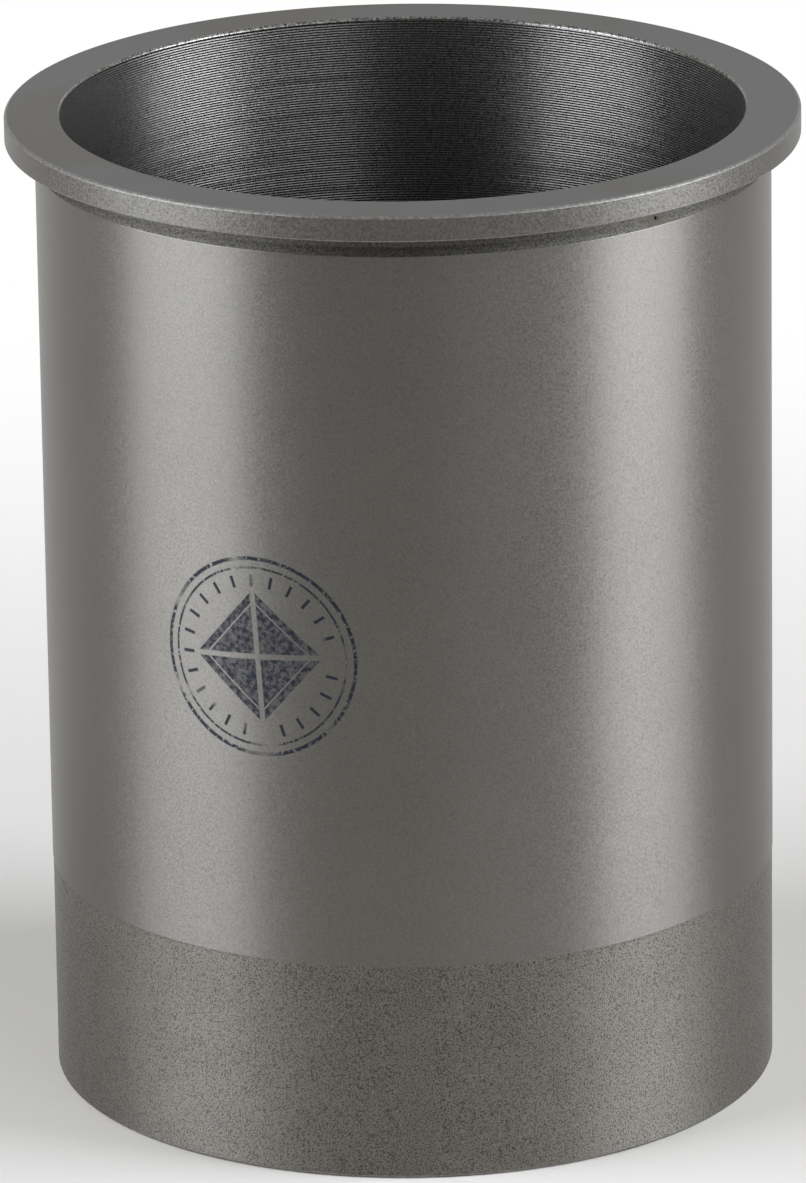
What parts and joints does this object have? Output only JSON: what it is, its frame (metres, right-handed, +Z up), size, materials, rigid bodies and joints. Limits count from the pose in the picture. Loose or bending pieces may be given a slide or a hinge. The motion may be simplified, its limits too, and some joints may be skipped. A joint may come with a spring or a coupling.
{
  "type": "cylinder liner",
  "caption": "Plain engine cylinder liner, open right through, with a thin top flange, a relief groove under it, a ground outside and a rougher turned band at its foot.",
  "frame": {"origin": "centre of the foot face, on the bore axis", "axes": "+Z up along the bore axis, from the foot to the flange; the part is round, so X and Y are free and the ink mark faces -Y and -X"},
  "size_m": [0.1027, 0.1026, 0.1296],
  "materials": {
    "machined_iron": "fine turned and ground bare metal, satin"
  },
  "bodies": {
    "root": {"cylinder_liner": "machined_iron"}
  },
  "joints": []
}
